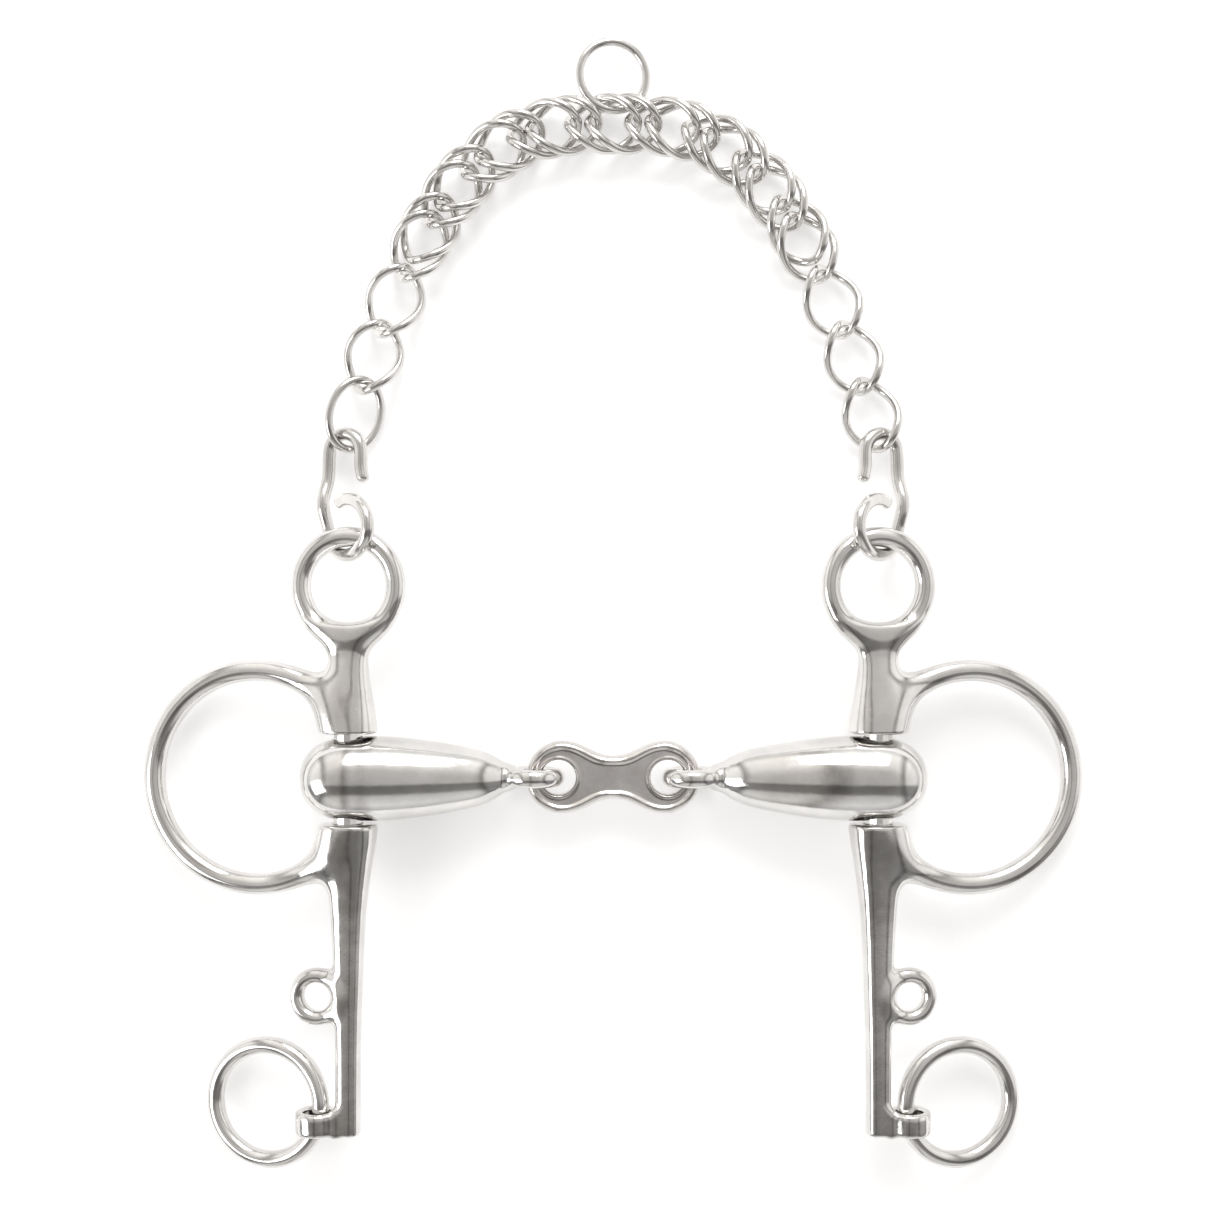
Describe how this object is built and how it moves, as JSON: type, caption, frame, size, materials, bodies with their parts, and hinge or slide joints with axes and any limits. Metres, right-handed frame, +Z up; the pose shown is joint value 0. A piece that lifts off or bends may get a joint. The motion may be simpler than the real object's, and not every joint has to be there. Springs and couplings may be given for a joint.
{
  "type": "curb bit",
  "caption": "Jointed curb bit with ring cheeks, long shanks, loose rein rings, curb hooks and a curb chain.",
  "frame": {"origin": "middle of the bottom of the object's box, on the surface it lies on", "axes": "+X from the left cheek to the right cheek, +Y from the mouthpiece towards the curb chain, +Z up"},
  "size_m": [0.2476, 0.2968, 0.0231],
  "materials": {
    "steel": "polished cast stainless steel",
    "chain_steel": "polished stainless steel wire"
  },
  "bodies": {
    "lozenge": {"lozenge": "steel"},
    "right_canon": {"right_canon": "steel"},
    "right_cheek": {"right_upper_arm": "steel", "right_snaffle_ring": "steel", "right_shank": "steel", "right_pivot_pin": "steel"},
    "right_rein_ring": {"right_rein_ring": "steel"},
    "right_curb_hook": {"right_curb_hook": "steel"},
    "right_end_link_3": {"right_end_link_3": "chain_steel"},
    "right_end_link_2": {"right_end_link_2": "chain_steel"},
    "right_end_link_1": {"right_end_link_1": "chain_steel"},
    "right_pair_4": {"right_inner_link_4": "chain_steel", "right_outer_link_4": "chain_steel"},
    "right_pair_3": {"right_inner_link_3": "chain_steel", "right_outer_link_3": "chain_steel"},
    "right_pair_2": {"right_inner_link_2": "chain_steel", "right_outer_link_2": "chain_steel"},
    "right_pair_1": {"right_inner_link_1": "chain_steel", "right_outer_link_1": "chain_steel"},
    "left_canon": {"left_canon": "steel"},
    "left_cheek": {"left_upper_arm": "steel", "left_snaffle_ring": "steel", "left_shank": "steel", "left_pivot_pin": "steel"},
    "left_rein_ring": {"left_rein_ring": "steel"},
    "left_curb_hook": {"left_curb_hook": "steel"},
    "left_end_link_3": {"left_end_link_3": "chain_steel"},
    "left_end_link_2": {"left_end_link_2": "chain_steel"},
    "left_end_link_1": {"left_end_link_1": "chain_steel"},
    "left_pair_4": {"left_inner_link_4": "chain_steel", "left_outer_link_4": "chain_steel"},
    "left_pair_3": {"left_inner_link_3": "chain_steel", "left_outer_link_3": "chain_steel"},
    "left_pair_2": {"left_inner_link_2": "chain_steel", "left_outer_link_2": "chain_steel"},
    "left_pair_1": {"left_inner_link_1": "chain_steel", "left_outer_link_1": "chain_steel"},
    "centre_pair": {"centre_link_left": "chain_steel", "centre_link_right": "chain_steel"},
    "fly_link": {"fly_link": "chain_steel"}
  },
  "joints": [
    {"name": "right_canon_fold", "type": "hinge", "parent": "lozenge", "child": "right_canon", "pos_m": [0.02085, -0.04616, 0.00817], "axis": [0, 1, 0], "range_deg": [-12, 0]},
    {"name": "right_cheek_swivel", "type": "hinge", "parent": "right_canon", "child": "right_cheek", "pos_m": [0.06877, -0.04616, 0.01237], "axis": [0, -1, 0], "range_deg": [0, 33]},
    {"name": "right_rein_ring_swing", "type": "hinge", "parent": "right_cheek", "child": "right_rein_ring", "pos_m": [0.07697, -0.13556, 0.01109], "axis": [0, -1, 0], "range_deg": [0, 90]},
    {"name": "right_hook_swing", "type": "hinge", "parent": "right_canon", "child": "right_curb_hook", "pos_m": [0.06877, 0.01659, 0.01237], "axis": [1, 0, 0], "range_deg": [0, 50]},
    {"name": "right_link_swing_1", "type": "hinge", "parent": "right_curb_hook", "child": "right_end_link_3", "pos_m": [0.07069, 0.04117, 0.00502], "axis": [1, 0, 0], "range_deg": [0, 35]},
    {"name": "right_link_swing_2", "type": "hinge", "parent": "right_end_link_3", "child": "right_end_link_2", "pos_m": [0.06573, 0.05668, 0.00502], "axis": [1, 0, 0], "range_deg": [0, 25]},
    {"name": "right_link_swing_3", "type": "hinge", "parent": "right_end_link_2", "child": "right_end_link_1", "pos_m": [0.06061, 0.07162, 0.00502], "axis": [1, 0, 0], "range_deg": [0, 25]},
    {"name": "right_link_swing_4", "type": "hinge", "parent": "right_end_link_1", "child": "right_pair_4", "pos_m": [0.0546, 0.08621, 0.00502], "axis": [1, 0, 0], "range_deg": [0, 15]},
    {"name": "right_link_swing_5", "type": "hinge", "parent": "right_pair_4", "child": "right_pair_3", "pos_m": [0.0458, 0.10245, 0.00502], "axis": [1, 0, 0], "range_deg": [0, 12]},
    {"name": "right_link_swing_6", "type": "hinge", "parent": "right_pair_3", "child": "right_pair_2", "pos_m": [0.03584, 0.11464, 0.00502], "axis": [1, 0, 0], "range_deg": [0, 8]},
    {"name": "centre_fold", "type": "hinge", "parent": "right_pair_2", "child": "right_pair_1", "pos_m": [0.02085, -0.04616, 0.00817], "axis": [0, 1, 0], "range_deg": [0, 12]},
    {"name": "left_canon_fold", "type": "hinge", "parent": "lozenge", "child": "left_canon", "pos_m": [-0.02085, -0.04616, 0.00817], "axis": [0, -1, 0], "range_deg": [-12, 0]},
    {"name": "left_cheek_swivel", "type": "hinge", "parent": "left_canon", "child": "left_cheek", "pos_m": [-0.06877, -0.04616, 0.01237], "axis": [0, 1, 0], "range_deg": [0, 33]},
    {"name": "left_rein_ring_swing", "type": "hinge", "parent": "left_cheek", "child": "left_rein_ring", "pos_m": [-0.07697, -0.13556, 0.01109], "axis": [0, 1, 0], "range_deg": [0, 90]},
    {"name": "left_hook_swing", "type": "hinge", "parent": "left_canon", "child": "left_curb_hook", "pos_m": [-0.06877, 0.01659, 0.01237], "axis": [1, 0, 0], "range_deg": [0, 50]},
    {"name": "left_link_swing_1", "type": "hinge", "parent": "left_curb_hook", "child": "left_end_link_3", "pos_m": [-0.07069, 0.04117, 0.00502], "axis": [1, 0, 0], "range_deg": [0, 35]},
    {"name": "left_link_swing_2", "type": "hinge", "parent": "left_end_link_3", "child": "left_end_link_2", "pos_m": [-0.06573, 0.05668, 0.00502], "axis": [1, 0, 0], "range_deg": [0, 25]},
    {"name": "left_link_swing_3", "type": "hinge", "parent": "left_end_link_2", "child": "left_end_link_1", "pos_m": [-0.06061, 0.07162, 0.00502], "axis": [1, 0, 0], "range_deg": [0, 25]},
    {"name": "left_link_swing_4", "type": "hinge", "parent": "left_end_link_1", "child": "left_pair_4", "pos_m": [-0.0546, 0.08621, 0.00502], "axis": [1, 0, 0], "range_deg": [0, 15]},
    {"name": "left_link_swing_5", "type": "hinge", "parent": "left_pair_4", "child": "left_pair_3", "pos_m": [-0.0458, 0.10245, 0.00502], "axis": [1, 0, 0], "range_deg": [0, 12]},
    {"name": "left_link_swing_6", "type": "hinge", "parent": "left_pair_3", "child": "left_pair_2", "pos_m": [-0.03584, 0.11464, 0.00502], "axis": [1, 0, 0], "range_deg": [0, 8]},
    {"name": "centre_rock", "type": "hinge", "parent": "right_pair_1", "child": "centre_pair", "pos_m": [0.00787, 0.12573, 0.00502], "axis": [1, 0, 0], "range_deg": [0, 3]},
    {"name": "left_centre_rock", "type": "hinge", "parent": "centre_pair", "child": "left_pair_1", "pos_m": [-0.00787, 0.12573, 0.00502], "axis": [1, 0, 0], "range_deg": [-3, 0]},
    {"name": "fly_link_swing", "type": "hinge", "parent": "centre_pair", "child": "fly_link", "pos_m": [0, 0.13204, 0.00502], "axis": [1, 0, 0], "range_deg": [0, 18]}
  ],
  "couplings": [
    {"joint": "centre_fold", "follows": "right_canon_fold", "ratio": -1},
    {"joint": "left_hook_swing", "follows": "right_hook_swing", "ratio": 1},
    {"joint": "left_link_swing_1", "follows": "right_link_swing_1", "ratio": 1},
    {"joint": "left_link_swing_2", "follows": "right_link_swing_2", "ratio": 1},
    {"joint": "left_link_swing_3", "follows": "right_link_swing_3", "ratio": 1},
    {"joint": "left_link_swing_4", "follows": "right_link_swing_4", "ratio": 1},
    {"joint": "left_link_swing_5", "follows": "right_link_swing_5", "ratio": 1},
    {"joint": "left_link_swing_6", "follows": "right_link_swing_6", "ratio": 1},
    {"joint": "left_centre_rock", "follows": "centre_rock", "ratio": -1}
  ]
}
